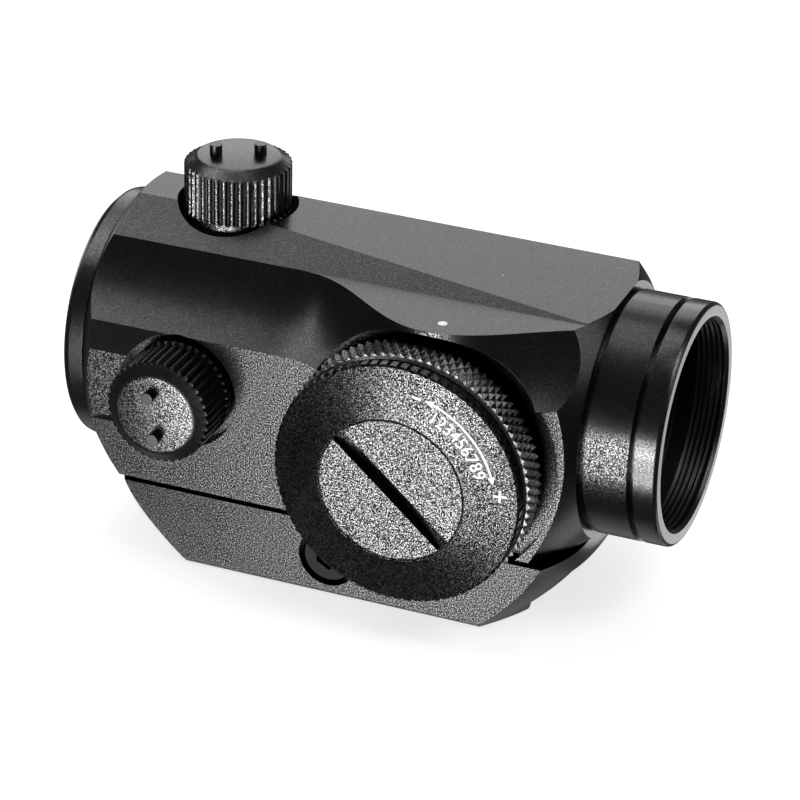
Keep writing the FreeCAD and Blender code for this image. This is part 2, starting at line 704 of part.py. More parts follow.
def cap_seal(axis):
    """Rubber ring round the foot of the post, under the cap."""
    turns = [math.radians(45 * k) for k in range(8)]
    low = WELL_FLOOR + SEAL_GAP + SEAL_R
    inner = POST_R + SEAL_GAP + SEAL_R
    return turned([(low + SEAL_R * math.sin(t), inner + SEAL_R * math.cos(t)) for t in turns], HUB, axis)


def tool_pins(axis, turn):
    """Two short pins on the crown; they fit the slot of the adjuster."""
    t = math.radians(turn)
    along = (FORE * math.cos(t) + axis.cross(FORE) * math.sin(t)) * PIN_OFF
    pins = [rod(PIN_R, CAP_TOP - PIN_SUNK, CAP_TOP + PIN_H, HUB + along * s, axis) for s in (-1, 1)]
    return Part.makeCompound(pins)


def turret(name, axis, turn):
    """All the pieces of one turret."""
    bore = HEAD_R + SLACK
    clip = HEAD_TOP + FIT
    save(name + "_adjuster", adjuster(axis))
    save(name + "_plunger", plunger(axis))
    save(name + "_retainer", tube(bore - CLIP_W, bore, clip, clip + CLIP_T, HUB, axis))
    save(name + "_cap", turret_cap(axis, turn))
    save(name + "_cap_seal", cap_seal(axis))
    save(name + "_cap_pins", tool_pins(axis, turn))


# ------------------------------------------------------------------ dial and battery

def sleeve():
    """Fixed tube that holds the cell and carries the dial."""
    shoulder = DIAL_BACK - FIT
    floor = CELL_BACK - SLACK
    lip = SLEEVE_BORE - SLEEVE_LIP
    profile = [(POCKET_Y, lip), (POCKET_Y, FLANGE_R), (shoulder, FLANGE_R), (shoulder, SLEEVE_R),
               (SLEEVE_END, SLEEVE_R), (SLEEVE_END, SLEEVE_BORE), (floor, SLEEVE_BORE), (floor, lip)]
    return turned(profile, DIAL, OUT).cut(snap_ring())


def snap_ring():
    """Split ring that keeps the dial on its sleeve."""
    inner = SLEEVE_R - AIR
    ring = tube(inner, inner + RETAIN_W, DIAL_FRONT + FIT, DIAL_FRONT + FIT + RETAIN_T, DIAL, OUT)
    half = RETAIN_GAP / 2
    return ring.cut(block(DIAL_X - half, DIAL_X + half, -FAR, 0, DIAL_Z - FAR, DIAL_Z))


def dimple():
    """Pyramid punched into the back of the dial for the click ball."""
    tip = BALL_R / 9
    shape = Part.makeWedge(-BALL_R, 0, -BALL_R, -tip, -tip, BALL_R, DIMPLE_DEPTH, BALL_R, tip, tip)
    shape.Placement = FreeCAD.Placement(DETENT + OUT * DIAL_BACK, FreeCAD.Rotation(FORE, 180))
    return shape


def dial():
    """Brightness ring; the dimples in its back face make the clicks."""
    profile = [(DIAL_BACK, DIAL_BORE), (DIAL_BACK, DIAL_R - DIAL_EDGE), (DIAL_BACK + DIAL_EDGE, DIAL_R),
               (DIAL_FRONT - DIAL_EDGE, DIAL_R), (DIAL_FRONT, DIAL_R - DIAL_EDGE), (DIAL_FRONT, DIAL_BORE)]
    return turned(profile, DIAL, OUT).cut(spun(dimple(), DIAL, OUT, CLICKS))


def coin_slot():
    """Slot left by a round cutter, kept inside the disc."""
    t = math.radians(COIN_TURN)
    line = FORE * math.cos(t) + UP * math.sin(t)
    cutter = Part.makeCylinder(COIN_R, COIN_W, Vector(0, 0, -COIN_W / 2), UP)
    centre = DIAL + OUT * (LID_FACE - COIN_DEPTH + COIN_R)
    cutter.Placement = FreeCAD.Placement(centre, FreeCAD.Rotation(UP, line.cross(OUT)))
    return cutter.common(rod(LID_DISC_R - FIT, 0, FAR, DIAL, OUT))


def battery_cap():
    """Toothed lid with a shallow cone and a coin slot."""
    root = LID_R - 1.1 * LID_TOOTH
    plug = SLEEVE_BORE - FIT
    bevel = LID_RIM + LID_BEVEL
    profile = [(CELL_FRONT + FIT, 0), (CELL_FRONT + FIT, plug), (LID_BACK, plug), (LID_BACK, root),
               (bevel, root), (LID_FACE, LID_DISC_R + LID_GROOVE), (LID_FACE - LID_GROOVE, LID_DISC_R),
               (LID_FACE, LID_DISC_R - LID_GROOVE), (LID_FACE, 0)]
    teeth = fluted(LID_R, LID_TOOTH, LID_SHARE, LID_TEETH, LID_BACK, LID_RIM, DIAL, OUT)
    edge = fluted(LID_R, LID_TOOTH, LID_SHARE, LID_TEETH, LID_RIM, bevel, DIAL, OUT)
    edge = edge.common(bevelled(LID_R, root, LID_TEETH, LID_RIM, bevel, DIAL, OUT))
    return turned(profile, DIAL, OUT).fuse([teeth, edge]).cut(coin_slot())


def lid_seal():
    """Rubber washer between the sleeve and its lid."""
    a, b = SLEEVE_END + SEAL_GAP, LID_BACK - SEAL_GAP
    return tube(SLEEVE_R - LID_SEAL_W, SLEEVE_R, a, b, DIAL, OUT)


def coin_cell():
    """Lithium coin cell with its stepped negative can."""
    a = CELL_BACK
    can = CELL_R - CELL_CAN
    profile = [(a, 0), (a, can), (a + CELL_STEP, can), (a + CELL_STEP, CELL_R - CELL_STEP),
               (a + 2 * CELL_STEP, CELL_R), (CELL_FRONT, CELL_R), (CELL_FRONT, 0)]
    return turned(profile, DIAL, OUT)


def contact_spring():
    """Three-legged blade between the board and the cell."""
    top = BOARD_TOP + CONTACT_T
    ring = tube(CONTACT_HOLE, CONTACT_R, BOARD_TOP, top, DIAL, OUT)
    start = DIAL_X + BLADE_START
    half = BLADE_W / 2
    blade = block(start, start + BLADE_L, -top, -BOARD_TOP, DIAL_Z - half, DIAL_Z + half)
    blade.rotate(Vector(start, -BOARD_TOP, DIAL_Z), UP, -BLADE_RISE)
    return ring.fuse(spun(blade, DIAL, OUT, BLADES))


def switch_board():
    """Round circuit board with step contacts near its edge."""
    end = DIAL_X + CELL_R - PAD_IN
    pad = block(end - PAD_L, end, -BOARD_TOP - PAD_T, -BOARD_TOP, DIAL_Z - PAD_W / 2, DIAL_Z + PAD_W / 2)
    return rod(CELL_R, BOARD_BACK, BOARD_TOP, DIAL, OUT).fuse(spun(pad, DIAL, OUT, CLICKS))


def detent_spring():
    """Small coil behind the ball, wound from square wire."""
    inner = BALL_R - COIL_WIRE
    height = BALL_LOW - DETENT_FLOOR - COIL_WIRE - 2 * SLACK
    wire = Part.makePolygon([Vector(inner, 0, 0), Vector(BALL_R, 0, 0), Vector(BALL_R, 0, COIL_WIRE),
                             Vector(inner, 0, COIL_WIRE), Vector(inner, 0, 0)])
    coil = Part.Wire(Part.makeHelix(COIL_PITCH, height, BALL_R)).makePipeShell([wire], True, True)
    coil.Placement = FreeCAD.Placement(DETENT + OUT * (DETENT_FLOOR + SLACK), FreeCAD.Rotation(UP, OUT))
    return coil


# ------------------------------------------------------------------ clamp

def base_screw_points():
    """Where the base is screwed to the block, seen from above."""
    front, rear = SHOULDER_X - SCREW_FRONT, SCREW_REAR - LENGTH
    return [Vector(x, y, 0) for x in (front, rear) for y in (-SCREW_Y, SCREW_Y)]


def rail_space():
    """Section of the rail the clamp fits, with running room below."""
    edge = SEAT_Z - RAIL_FLANK
    low = edge - RAIL_FLANK
    right = [(-RAIL_TOP_HALF, SEAT_Z), (-RAIL_HALF, edge), (-RAIL_TOP_HALF, low), (-RAIL_TOP_HALF, -FAR)]
    return right + [(-y, z) for y, z in reversed(right)]


def base_ends():
    """Turned envelope of the clamp's ends."""
    curves = []
    for end, way, outline in ((BASE_X, 1, BASE_NOSE), (BASE_END, -1, BASE_TAIL)):
        curve = Part.BSplineCurve()
        curve.interpolate([Vector(end - way * along, 0, r) for along, r in outline])
        curves.append(curve.toShape())
    return envelope(curves[0], curves[1])


def clamp_section():
    """Full width block of the clamp with its lower corners eased."""
    right = [(-SIDE_Y, BASE_TOP), (-SIDE_Y, BASE_LOW + BASE_EDGE), (-SIDE_Y + BASE_EDGE, BASE_LOW)]
    return right + [(-y, z) for y, z in reversed(right)]


def jaw_space(gap):
    """Room taken by the moving jaw, seen along the rail."""
    split = RAIL_HALF - JAW_IN - gap
    top = SEAT_Z + JAW_TOP + gap
    foot = RAIL_TOP_HALF - JAW_IN
    return [(split, SEAT_Z - RAIL_FLANK), (split, top), (FAR, top), (FAR, -FAR), (foot, -FAR),
            (foot, BASE_LOW)]


def mount_base():
    """Base plate with the fixed jaw on the near side; a raised land carries the housing."""
    body = bar(clamp_section(), -LENGTH, 0).common(base_ends())
    land = block(REAR_X + LAND_REAR, SHOULDER_X - LAND_SET, -LAND_HALF, LAND_HALF, BASE_TOP - AIR, BELLY_Z)
    notch = BOLT_R + NOTCH_ROOM
    body = body.fuse(land).cut([bar(rail_space(), -LENGTH, 0), bar(jaw_space(SLACK), -LENGTH, 0),
                                rod(FLANGE_R + 2 * AIR, DETENT_FLOOR - AIR, FAR, DIAL, OUT),
                                rod(COLLAR_R + SLACK, SHOULDER_X - 2 * AIR, 0, ORIGIN, FORE)])
    cuts = [rod(BOLT_HEAD_R + BOLT_ROOM, BOLT_SEAT, FAR, BOLT, OUT), rod(BOLT_R + FIT, -FAR, FAR, BOLT, OUT),
            block(BOLT_X - notch, BOLT_X + notch, -RAIL_TOP_HALF, RAIL_TOP_HALF, BOLT.z, SEAT_Z + NOTCH_TOP)]
    cuts += [rod(SCREW_HEAD_R, -SEAT_Z - SCREW_SUNK, -SEAT_Z + SLACK, p, DOWN) for p in base_screw_points()]
    return body.cut(cuts).cut(base_screws())


def clamp_jaw():
    """Moving jaw on the far side, drawn in by the cross bolt."""
    body = bar(clamp_section(), BASE_END + JAW_SET, BASE_X - JAW_SET).common(base_ends())
    body = body.common(bar(jaw_space(0), -LENGTH, 0)).cut(bar(rail_space(), -LENGTH, 0))
    return body.cut(rod(BOLT_R + FIT, -FAR, 0, BOLT, OUT))


def clamp_screw():
    """Cross bolt with a low socket head; its shank also takes the recoil."""
    end = BOLT_SHORT - SIDE_Y
    profile = [(end, 0), (end, BOLT_R - AIR), (end + AIR, BOLT_R), (BOLT_SEAT, BOLT_R),
               (BOLT_SEAT, BOLT_HEAD_R), (BOLT_TOP - BOLT_SUNK, BOLT_HEAD_R),
               (BOLT_TOP, BOLT_HEAD_R - BOLT_SUNK), (BOLT_TOP, 0)]
    corners = round_points([(HEX_R, k * math.pi / 3) for k in range(6)], BOLT_TOP - HEX_DEPTH, BOLT, OUT)
    return turned(profile, BOLT, OUT).cut(closed(corners).extrude(OUT * HEX_DEPTH))


def base_screws():
    """Four countersunk screws up through the base."""
    tip = -BELLY_Z - SCREW_BITE
    head = -SEAT_Z - SCREW_SUNK
    neck = head - SCREW_HEAD_R + SCREW_R
    profile = [(tip, 0), (tip, SCREW_R), (neck, SCREW_R), (head, SCREW_HEAD_R), (head, 0)]
    return Part.makeCompound([turned(profile, p, DOWN) for p in base_screw_points()])


# ------------------------------------------------------------------ write the pieces

os.makedirs("parts", exist_ok=True)
save("main_housing", housing())
save("front_ring", front_ring())
save("rear_ring", rear_ring())
save("rear_window", rod(GLASS_R, GLASS_X, GLASS_X + GLASS_T, ORIGIN, FORE))
save("window_ring", tube(EYE_R, GLASS_R, GLASS_X + GLASS_T, GLASS_X + GLASS_T + NUT_T, ORIGIN, FORE))
save("pivot_ring", pivot())
save("inner_tube", aiming_tube())
save("objective_lens", objective())
save("lens_ring", tube(LENS_R - LENS_NUT_WALL, LENS_R, LENS_X, LENS_X + LENS_NUT_L, ORIGIN, FORE))
save("led_holder", diode_holder())
save("led_emitter", diode())
save("bias_spring", bias_spring())
save("spring_screw", spring_screw())
turret("elevation", UP, TOP_PIN_TURN)
turret("windage", OUT, SIDE_PIN_TURN)
save("battery_sleeve", sleeve())
save("dial_retainer", snap_ring())
save("dial_ring", dial())
save("detent_ball", Part.makeSphere(BALL_R, DETENT + OUT * (BALL_LOW + BALL_R)))
save("detent_spring", detent_spring())
save("switch_board", switch_board())
save("contact_spring", contact_spring())
save("coin_cell", coin_cell())
save("battery_cap", battery_cap())
save("battery_cap_seal", lid_seal())
save("mount_base", mount_base())
save("base_screws", base_screws())
save("clamp_jaw", clamp_jaw())
save("clamp_screw", clamp_screw())
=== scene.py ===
import math
import bmesh
import bpy
import numpy as np
from mathutils import Matrix, Vector


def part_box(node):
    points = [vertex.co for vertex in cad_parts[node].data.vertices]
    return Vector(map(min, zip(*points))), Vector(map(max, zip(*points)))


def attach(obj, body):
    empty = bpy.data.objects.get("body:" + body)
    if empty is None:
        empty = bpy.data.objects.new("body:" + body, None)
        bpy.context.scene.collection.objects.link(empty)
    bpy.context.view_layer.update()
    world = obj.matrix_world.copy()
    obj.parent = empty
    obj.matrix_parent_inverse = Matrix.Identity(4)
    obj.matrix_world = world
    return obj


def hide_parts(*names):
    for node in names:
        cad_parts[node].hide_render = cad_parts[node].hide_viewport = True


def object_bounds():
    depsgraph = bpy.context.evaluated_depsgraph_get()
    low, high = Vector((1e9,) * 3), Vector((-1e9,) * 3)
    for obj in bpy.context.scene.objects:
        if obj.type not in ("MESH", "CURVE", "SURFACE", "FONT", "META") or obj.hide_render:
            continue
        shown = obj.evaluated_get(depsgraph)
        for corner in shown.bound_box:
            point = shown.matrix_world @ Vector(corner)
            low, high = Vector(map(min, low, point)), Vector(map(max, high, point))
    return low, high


# Closed-tube micro reflex sight on a low rail clamp, black hard-anodised aluminium.
# Metres. Origin on the optical axis at the front rim, +X forward, -Y the battery side, +Z up.
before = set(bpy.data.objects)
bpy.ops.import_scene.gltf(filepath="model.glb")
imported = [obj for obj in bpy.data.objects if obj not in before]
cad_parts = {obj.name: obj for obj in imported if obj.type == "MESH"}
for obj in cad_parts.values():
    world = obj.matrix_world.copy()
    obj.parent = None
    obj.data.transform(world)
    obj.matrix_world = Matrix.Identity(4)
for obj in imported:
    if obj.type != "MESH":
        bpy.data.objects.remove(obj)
CAD_BOX = [list(corner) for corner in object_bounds()]
MM = 0.001


# ---------------------------------------------------------------- camera
# A long lens looks from the right front and above, rolled a little.
# It stands a third of a metre off, so the near side shows slightly larger than the far side.

VIEW_AZIMUTH = 21.47
VIEW_ELEVATION = 27.46
VIEW_ROLL = math.radians(1.33)
VIEW_DISTANCE = 325.7 * MM
VIEW_CENTRE = Vector((-30, -8, -2)) * MM
VIEW_RIGHT, VIEW_UP = 2.27 * MM, 1.86 * MM
FOCAL_LENGTH = 149.7
SENSOR_WIDTH = 36
NEAREST, FARTHEST = 0.01, 20


def bearing(azimuth, elevation):
    """Direction at an angle round from the battery side and up, in degrees."""
    a, e = math.radians(azimuth), math.radians(elevation)
    return Vector((math.sin(a) * math.cos(e), -math.cos(a) * math.cos(e), math.sin(e)))


back = bearing(VIEW_AZIMUTH, VIEW_ELEVATION)
level = bearing(VIEW_AZIMUTH + 90, 0)
right = math.cos(VIEW_ROLL) * level + math.sin(VIEW_ROLL) * back.cross(level)
above = math.cos(VIEW_ROLL) * back.cross(level) - math.sin(VIEW_ROLL) * level
aim = VIEW_CENTRE + VIEW_RIGHT * right + VIEW_UP * above
lens = bpy.data.cameras.new("camera")
lens.lens = FOCAL_LENGTH
lens.sensor_width = SENSOR_WIDTH
lens.clip_start, lens.clip_end = NEAREST, FARTHEST
camera = bpy.data.objects.new("camera", lens)
camera.matrix_world = Matrix.Translation(aim + VIEW_DISTANCE * back) @ (
    Matrix((right, above, back)).transposed().to_4x4())
bpy.context.scene.collection.objects.link(camera)
bpy.context.scene.camera = camera


# ---------------------------------------------------------------- light and floor
# An opal acrylic table, lit through from below, in a dim room with white walls. Soft boxes
# stand behind, above and in front of the sight; the low ones light it through the table.

# Name, degrees round from the battery side, degrees up, distance, width, height, watts.
SOFTBOXES = (
    ("back_box", 199, 28, 0.6, 0.42, 0.38, 1.05),
    ("high_box", 236, 65, 0.6, 0.36, 0.34, 0.8),
    ("rear_box", 282, 51, 0.6, 0.28, 0.30, 0.8),
    ("left_box", 240, 4, 0.6, 0.22, 0.22, 0.4),
    ("side_box", -5, -21, 0.3, 0.20, 0.20, 1.2),
    ("top_side_box", -9, -2, 0.3, 0.12, 0.07, 0.3),
    ("front_box", 84, 54, 0.6, 0.26, 0.24, 1.1),
    ("low_back_box", 156, -26, 0.6, 0.30, 0.20, 0.3),
    ("low_front_box", 122, -48, 0.6, 0.20, 0.20, 0.18),
    ("nose_box", 104, 20, 0.6, 0.30, 0.24, 0.4),
    ("under_box", 200, -70, 0.6, 0.60, 0.40, 0.25),
    ("zenith_box", 50, 78, 0.6, 0.24, 0.24, 0.4))
WHITE = (1, 1, 1, 1)
ROOM_GLOW = 0.11
TABLE_X = (-0.20, 0.07)
TABLE_Y = (-0.24, 0.26)
TABLE_Z = CAD_BOX[0][2] - 0.05 * MM
TABLE_SHADE = (0.5, 0.5, 0.5, 1)
TABLE_ROUGH = 0.8
TABLE_GLOW = 0.75

bpy.context.scene.view_settings.view_transform = "Standard"
for name, azimuth, elevation, distance, width, height, power in SOFTBOXES:
    lamp = bpy.data.lights.new(name, "AREA")
    lamp.shape = "RECTANGLE"
    lamp.size, lamp.size_y = width, height
    lamp.energy = power
    holder = bpy.data.objects.new(name, lamp)
    place = VIEW_CENTRE + distance * bearing(azimuth, elevation)
    holder.location = place
    holder.rotation_mode = "QUATERNION"
    holder.rotation_quaternion = (VIEW_CENTRE - place).to_track_quat("-Z", "Y")
    holder.visible_camera = False
    bpy.context.scene.collection.objects.link(holder)

room = bpy.data.worlds.new("room")
room.use_nodes = True
bpy.context.scene.world = room
room_nodes, room_links = room.node_tree.nodes, room.node_tree.links
dim, walls = room_nodes["Background"], room_nodes.new("ShaderNodeBackground")
dim.inputs["Color"].default_value = WHITE
dim.inputs["Strength"].default_value = ROOM_GLOW
walls.inputs["Color"].default_value = WHITE
seen = room_nodes.new("ShaderNodeLightPath")
choice = room_nodes.new("ShaderNodeMixShader")
room_links.new(seen.outputs["Is Camera Ray"], choice.inputs["Fac"])
room_links.new(dim.outputs[0], choice.inputs[1])
room_links.new(walls.outputs[0], choice.inputs[2])
room_links.new(choice.outputs[0], room_nodes["World Output"].inputs["Surface"])

table_mesh = bpy.data.meshes.new("table")
corners = [(TABLE_X[i], TABLE_Y[j], TABLE_Z) for i, j in ((0, 0), (1, 0), (1, 1), (0, 1))]
table_mesh.from_pydata(corners, [], [(0, 1, 2, 3)])
table = bpy.data.objects.new("table", table_mesh)
bpy.context.scene.collection.objects.link(table)
table.visible_glossy = False    # gloss mirrors the boxes below, not the table
table.visible_shadow = False    # and their light comes through it
opal = bpy.data.materials.new("opal_acrylic")
opal.use_nodes = True
opal_shader = opal.node_tree.nodes["Principled BSDF"]
opal_shader.inputs["Base Color"].default_value = TABLE_SHADE
opal_shader.inputs["Roughness"].default_value = TABLE_ROUGH
opal_shader.inputs["Emission Color"].default_value = WHITE
opal_shader.inputs["Emission Strength"].default_value = TABLE_GLOW
table_mesh.materials.append(opal)


# ---------------------------------------------------------------- body
# One bar of aluminium, milled and turned, then blasted and hard anodised black.
# Blasting bites deepest on the flat battery side; the top and the scoops stay satin.

GRAIN_SIZE = 0.14
GRAIN_EDGES = (0.42, 0.63)
GRAIN_GAIN = 3.6
GRAIN_DEPTH = 0.012 * MM
FLAT_SIDE = (0.93, 0.99)
CLOUD_SIZE = 7 * MM
DUST_SIZE = 0.8 * MM
DUST_EDGES = (0.80, 0.83)
DUST_GREY = (0.6, 0.6, 0.6, 1)


class Socket:
    """A value in a material, for writing shader maths as plain expressions."""

    def __init__(self, sheet, out):
        self.sheet = sheet
        self.out = out

    def maths(self, operation, *values):
        return self.sheet.node("ShaderNodeMath", {"operation": operation}, *values)

    def __add__(self, other):
        return self.maths("ADD", self, other)

    def __sub__(self, other):
        return self.maths("SUBTRACT", self, other)

    def __rsub__(self, other):
        return self.maths("SUBTRACT", other, self)

    def __mul__(self, other):
        return self.maths("MULTIPLY", self, other)

    __radd__ = __add__
    __rmul__ = __mul__


class Finish:
    """A material being made: its nodes, and what goes into its shader."""

    def __init__(self, name):
        self.material = bpy.data.materials.new(name)
        self.material.use_nodes = True
        self.tree = self.material.node_tree
        self.shader = self.tree.nodes["Principled BSDF"]

    def node(self, kind, settings, *values, output=0):
        """Any node: its settings, then a value or link for each socket in turn, or by name."""
        made = self.tree.nodes.new(kind)
        for key, value in settings.items():
            setattr(made, key, value)
        for i, value in enumerate(values):
            name, value = value if isinstance(value, tuple) and len(value) == 2 else (i, value)
            self.plug(made.inputs[name], value)
        return Socket(self, made.outputs[output])

    def plug(self, socket, value):
        if isinstance(value, Socket):
            self.tree.links.new(value.out, socket)
        else:
            socket.default_value = value

    def set(self, **values):
        """Values or links for the shader's sockets, by their names in small letters."""
        for name, value in values.items():
            title = name.replace("_", " ").title().replace("Ior", "IOR")
            self.plug(self.shader.inputs[title], value)

    def noise(self, size, detail=2.0, rough=0.5):
        """Cloudy pattern, 0 to 1, with features of a given size."""
        place = self.node("ShaderNodeTexCoord", {}, output="Object")
        return self.node("ShaderNodeTexNoise", {}, ("Vector", place), ("Scale", 1 / size),
                         ("Detail", detail), ("Roughness", rough))

    def step(self, value, low, high):
        """0 below low, 1 above high, smooth between."""
        return self.node("ShaderNodeMapRange", {"interpolation_type": "SMOOTHSTEP"},
                         value, low, high, 0.0, 1.0)

    def facing(self, axis):
        """How squarely a face looks along one of the sight's axes, -1 to 1."""
        normal = self.node("ShaderNodeTexCoord", {}, output="Normal")
        return self.node("ShaderNodeSeparateXYZ", {}, normal, output=axis)

    def grey(self, value):
        return self.node("ShaderNodeCombineColor", {}, value, value, value)

    def blend(self, share, a, b):
        """Colour a turning into colour b."""
        return self.node("ShaderNodeMix", {"data_type": "RGBA"}, ("Factor", share), (6, a), (7, b),
                         output=2)

    def bump(self, height, depth, edge=0.0):
        """Relief of a given depth, on edges eased to a small radius."""
        values = [("Strength", 1.0), ("Distance", depth), ("Height", height)]
        if edge:
            eased_edge = self.node("ShaderNodeBevel", {"samples": 6}, ("Radius", edge))
            values.append(("Normal", eased_edge))
        return self.node("ShaderNodeBump", {}, *values)


def anodised(name, shade, rough, speckle, side_speckle=0.0, size=GRAIN_SIZE, edge=0.05):
    """Black anodised aluminium. Its blasted grain has a contrast, which may be more on the flat
    battery side, and a size in mm; edges are eased to a radius in mm."""
    f = Finish(name)
    fine = f.noise(size * MM, 2.0, 0.8)
    cloud = f.noise(CLOUD_SIZE, 3.0)
    contrast = speckle
    if side_speckle:
        contrast = speckle + side_speckle * f.step(f.facing("Y") * -1.0, *FLAT_SIDE)
    grain = f.step(fine, *GRAIN_EDGES)
    dust = f.step(f.noise(DUST_SIZE, 2.0, 0.6), *DUST_EDGES)
    tone = shade * (0.85 + 0.3 * cloud) * (contrast * (grain * grain * GRAIN_GAIN - 1.0) + 1.0)
    f.set(base_color=f.blend(dust * 0.5, f.grey(tone), DUST_GREY), metallic=1.0,
          roughness=rough + 0.1 * (cloud - 0.5),
          normal=f.bump(fine * contrast, GRAIN_DEPTH, edge * MM))
    return f.material


def dress(material, *nodes):
    """Give pieces their finish."""
    for node in nodes:
        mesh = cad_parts[node].data
        mesh.materials.clear()
        mesh.materials.append(material)


dress(anodised("body_black", 0.042, 0.26, 0.25, side_speckle=0.6), "main_housing")


# ---------------------------------------------------------------- index dot
# A white dot on the hood, which the dial is read against.
# It is screen printed, like the marks on the lid, as a thin film of paint.

DOT_R = 0.46 * MM
DOT_X, DOT_Y = -21.5 * MM, -13.07 * MM
DOT_SIDES = 32
PAINT_WHITE = (0.85, 0.85, 0.83, 1)
PAINT_WORN = (0.35, 0.35, 0.35, 1)
PAINT_FILM = 0.02 * MM
STAND_OFF = 50 * MM


def paint(name):
    """White screen-printed paint, slightly uneven."""
    f = Finish(name)
    patchy = f.noise(0.25 * MM, 3.0, 0.7)
    worn = f.step(patchy, 0.62, 0.8) * 0.35
    f.set(base_color=f.blend(worn, PAINT_WHITE, PAINT_WORN), roughness=0.45 + 0.2 * patchy,
          normal=f.bump(patchy, 0.01 * MM))
    return f.material


mark_white = paint("mark_white")


def printed(name, points, faces, node, way, body):
    """Film of paint on a piece: its outline's points are dropped on the piece along a way."""
    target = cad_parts[node]
    laid = []
    for point in points:
        hit, place = target.ray_cast(Vector(point) - STAND_OFF * way, way)[:2]
        laid.append(place - 0.5 * PAINT_FILM * way if hit else Vector(point))
    mesh = bpy.data.meshes.new(name)
    mesh.from_pydata(laid, [], faces)
    mesh.materials.append(mark_white)
    piece = bpy.data.objects.new(name, mesh)
    bpy.context.scene.collection.objects.link(piece)
    film = piece.modifiers.new("film", "SOLIDIFY")
    film.thickness = PAINT_FILM
    film.offset = 0
    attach(piece, body)


ring = [2 * math.pi * k / DOT_SIDES for k in range(DOT_SIDES)]
printed("index_dot", [(DOT_X + DOT_R * math.cos(t), DOT_Y + DOT_R * math.sin(t), 0) for t in ring],
        [tuple(range(DOT_SIDES))], "main_housing", Vector((0, 0, -1)), "housing")


# ---------------------------------------------------------------- front ring
# Turned aluminium with a rounded lip, screwed into the collar. Its bore is cut with a fine
# thread for filters, behind which the throat steps down twice to the optical tube.

LIP_EDGE = 0.45 * MM
LIP_STEPS = 6
MOUTH_R = 10.75 * MM
THREAD_R = 10.4 * MM
THREAD_DEPTH = 0.2 * MM
THREAD_PITCH = 0.55 * MM
THREAD_START, THREAD_END = 0.35 * MM, 3.3 * MM
THREAD_RUN_IN, THREAD_RUN_OUT = 0.5 * MM, 0.4 * MM
THREAD_STEP = 0.07 * MM
THREAD_SIDES = 180
THROAT = ((-4.9, 10.4), (-4.9, 9.9), (-5.9, 9.9), (-5.9, 9.4), (-6.8, 9.4))
SPIGOT = ((-6.8, 11.1), (-2.3, 11.1), (-2.3, 12.1))
BORE_END, BORE_START = -6.7 * MM, -0.5 * MM
BORE_R = 10.8 * MM
SHARP_EDGE = math.radians(32)
TWIST = 1e-9


def turned_skin(name, rows, base, axis, body, material, ends=False):
    """Piece turned about an axis, from rows of (distance along it, radius), which may vary
    round the row. The last row joins the first, unless flat ends close the piece."""
    count = max(np.size(value) for row in rows for value in row)
    turns = np.arange(count) * 2 * math.pi / count
    side = Vector((0, 0, 1)) if abs(axis.z) < 0.5 else Vector((1, 0, 0))
    other = axis.cross(side)
    points, radii = [], []
    for along, radius in rows:
        a, r = np.broadcast_to(along, count), np.broadcast_to(radius, count)
        radii.append(r)
        points += [base + axis * a[i] + (side * math.cos(t) + other * math.sin(t)) * r[i]
                   for i, t in enumerate(turns)]
    faces = []
    for k in range(len(rows) - (1 if ends else 0)):
        n = (k + 1) % len(rows)
        for i in range(count):
            j = (i + 1) % count
            a, b, c, d = k * count + i, k * count + j, n * count + j, n * count + i
            twist = radii[k][i] + radii[n][j] - radii[k][j] - radii[n][i]
            if twist < -TWIST:
                faces += [(a, b, c), (a, c, d)]
            elif twist > TWIST:
                faces += [(a, b, d), (b, c, d)]
            else:
                faces.append((a, b, c, d))
    if ends:
        faces += [tuple(range(count)), tuple((len(rows) - 1) * count + i for i in range(count))]
    mesh = bpy.data.meshes.new(name)
    mesh.from_pydata(points, [], faces)
    form = bmesh.new()
    form.from_mesh(mesh)
    bmesh.ops.recalc_face_normals(form, faces=form.faces)
    form.to_mesh(mesh)
    form.free()
    mesh.polygons.foreach_set("use_smooth", [True] * len(mesh.polygons))
    mesh.set_sharp_from_angle(angle=SHARP_EDGE)
    mesh.materials.append(material)
    piece = bpy.data.objects.new(name, mesh)
    bpy.context.scene.collection.objects.link(piece)
    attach(piece, body)
    return piece


rim_low, rim_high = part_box("front_ring")
rim_r = (rim_high.z - rim_low.z) / 2
lip = []
for k in range(LIP_STEPS + 1):
    t = math.radians(90 / LIP_STEPS * k)
    lip.append((rim_high.x - LIP_EDGE * (1 - math.sin(t)), rim_r - LIP_EDGE * (1 - math.cos(t))))
turns = np.arange(THREAD_SIDES) / THREAD_SIDES
thread = []
for x in np.arange(THREAD_START, THREAD_END, THREAD_STEP):
    fade = min(1, (x - THREAD_START) / THREAD_RUN_IN, (THREAD_END - x) / THREAD_RUN_OUT)
    wave = np.abs(((x / THREAD_PITCH + turns) % 1) * 2 - 1)
    flank = np.clip(1.5 * wave - 0.25, 0, 1)
    thread.append((-x, THREAD_R + THREAD_DEPTH * fade * flank))
rows = lip + [(0, MOUTH_R)] + thread + [(x * MM, r * MM) for x, r in THROAT + SPIGOT]
ring_black = anodised("ring_black", 0.058, 0.23, 0.35, size=0.11)
front = turned_skin("front_rim", rows, Vector((0, 0, 0)), Vector((1, 0, 0)), "housing",
                    ring_black)
inner_black = anodised("inner_black", 0.045, 0.40, 0.1)
front.data.materials.append(inner_black)
for face in front.data.polygons:
    middle = face.center
    if BORE_END < middle.x < BORE_START and math.hypot(middle.y, middle.z) < BORE_R:
        face.material_index = 1
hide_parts("front_ring")


# ---------------------------------------------------------------- rear ring
# Turned from the same stock, with a rounded bezel and a bevelled eyepiece opening.
# Its spigot fits in the rear of the body, and the rear glass sits against its lip.

dress(ring_black, "rear_ring")


